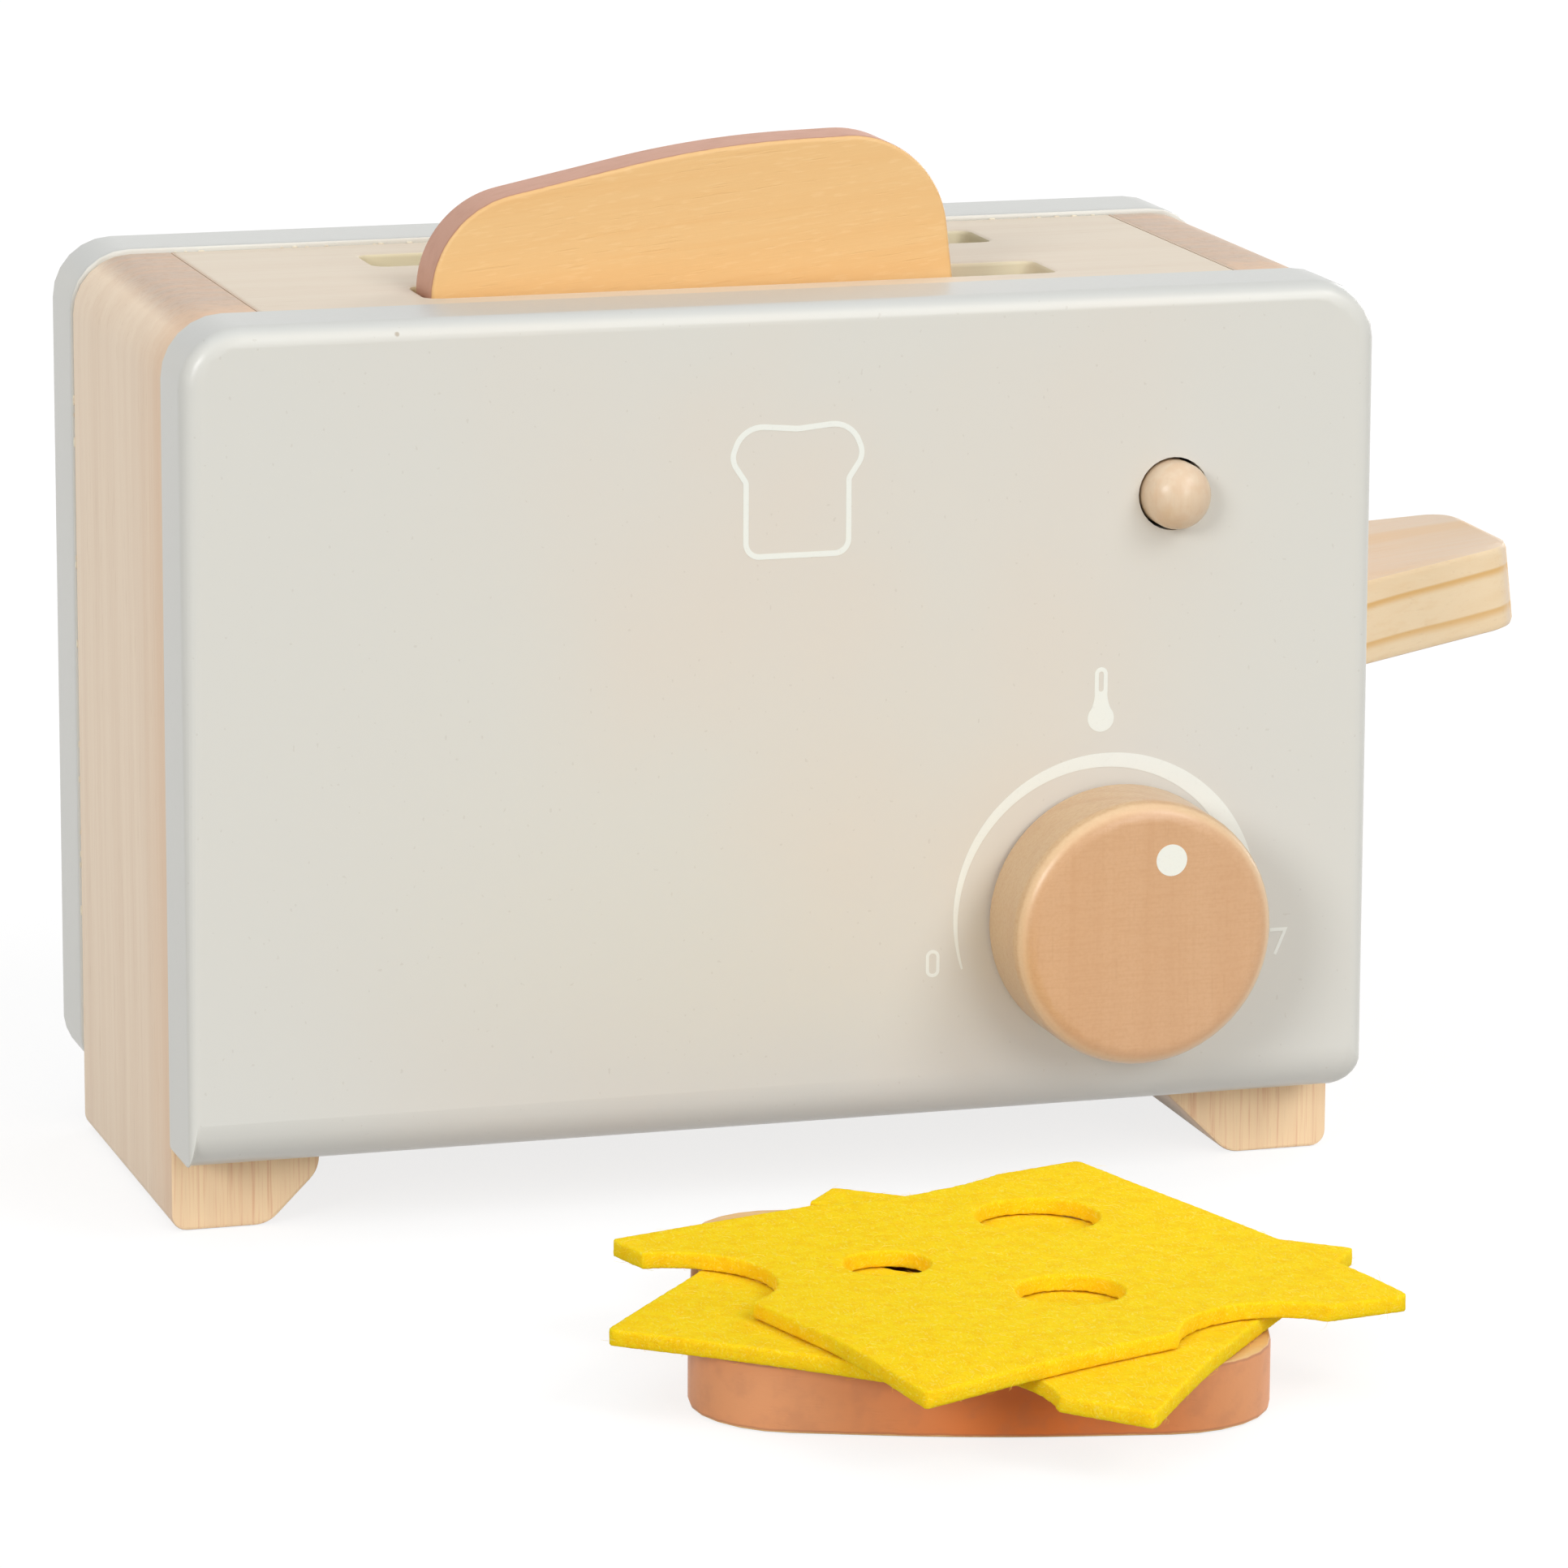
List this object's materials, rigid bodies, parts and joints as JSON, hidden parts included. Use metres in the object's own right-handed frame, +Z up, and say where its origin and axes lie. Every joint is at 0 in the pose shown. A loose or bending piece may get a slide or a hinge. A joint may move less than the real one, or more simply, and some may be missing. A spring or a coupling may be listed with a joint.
{
  "type": "toy toaster",
  "caption": "Wooden play toaster with two slots, a see-saw lever that lifts the toast, a turning dial, a push button and play food.",
  "frame": {"origin": "centre of the whole set's box, at the floor under the legs", "axes": "+X towards the lever's handle, +Y from the dial side to the back of the toaster, +Z up"},
  "size_m": [0.2286, 0.2454, 0.1634],
  "materials": {
    "painted_panel": "satin greige paint on fibreboard",
    "side_wood": "clear satin lacquer on softwood",
    "top_wood": "clear satin lacquer on plywood",
    "lever_wood": "clear satin lacquer on softwood",
    "knob_wood": "clear satin lacquer on beech",
    "dowel_wood": "bare birch",
    "bread_wood": "lacquered plywood faces with brown painted edges",
    "cheese_felt": "yellow needled felt",
    "zinc_steel": "zinc plate"
  },
  "bodies": {
    "housing": {"front_panel": "painted_panel", "back_panel": "painted_panel", "left_side_board": "side_wood", "right_side_board": "side_wood", "top_board": "top_wood", "bottom_board": "dowel_wood", "front_dowel_left_low": "dowel_wood", "front_dowel_left_high": "dowel_wood", "front_dowel_right_low": "dowel_wood", "front_dowel_right_high": "dowel_wood", "back_dowel_left_low": "dowel_wood", "back_dowel_left_high": "dowel_wood", "back_dowel_right_low": "dowel_wood", "back_dowel_right_high": "dowel_wood", "lever_pivot_dowel": "dowel_wood", "lever_rest_dowel": "dowel_wood", "button_bridge": "dowel_wood", "bridge_screw_low": "zinc_steel", "bridge_screw_high": "zinc_steel", "button_spring": "zinc_steel"},
    "lever": {"lever_board": "lever_wood"},
    "knob": {"knob": "knob_wood", "knob_axle": "dowel_wood", "knob_retaining_disc": "dowel_wood", "knob_screw": "zinc_steel"},
    "button": {"button_peg": "dowel_wood", "button_collar": "dowel_wood"},
    "toast_in_slot": {"toast_slice_in_slot": "bread_wood"},
    "toast_loose": {"toast_slice_loose": "bread_wood"},
    "cheese_lower": {"cheese_slice_lower": "cheese_felt"},
    "cheese_upper": {"cheese_slice_upper": "cheese_felt"}
  },
  "joints": [
    {"name": "lever_pivot", "type": "hinge", "parent": "housing", "child": "lever", "pos_m": [0.06044, 0.07467, 0.08045], "axis": [0, 1, 0], "range_deg": [0, 13]},
    {"name": "knob_turn", "type": "hinge", "parent": "housing", "child": "knob", "pos_m": [0.03374, 0.07467, 0.0445], "axis": [0, 1, 0], "continuous": true},
    {"name": "button_press", "type": "slide", "parent": "housing", "child": "button", "axis": [0, 1, 0], "range_m": [0, 0.004], "stiffness_N_per_m": 250, "springref_m": -0.002, "deforming": ["button_spring"]},
    {"name": "toast_lift", "type": "slide", "parent": "lever", "child": "toast_in_slot", "axis": [-0.1132, 0, 0.9936], "range_m": [0, 0.09]},
    {"name": "loose_toast_lift", "type": "slide", "parent": "housing", "child": "toast_loose", "axis": [0, 0, 1], "range_m": [0, 0.1]},
    {"name": "cheese_lower_lift", "type": "slide", "parent": "toast_loose", "child": "cheese_lower", "axis": [0, 0, 1], "range_m": [0, 0.1]},
    {"name": "cheese_upper_lift", "type": "slide", "parent": "cheese_lower", "child": "cheese_upper", "axis": [0, 0, 1], "range_m": [0, 0.1]}
  ]
}
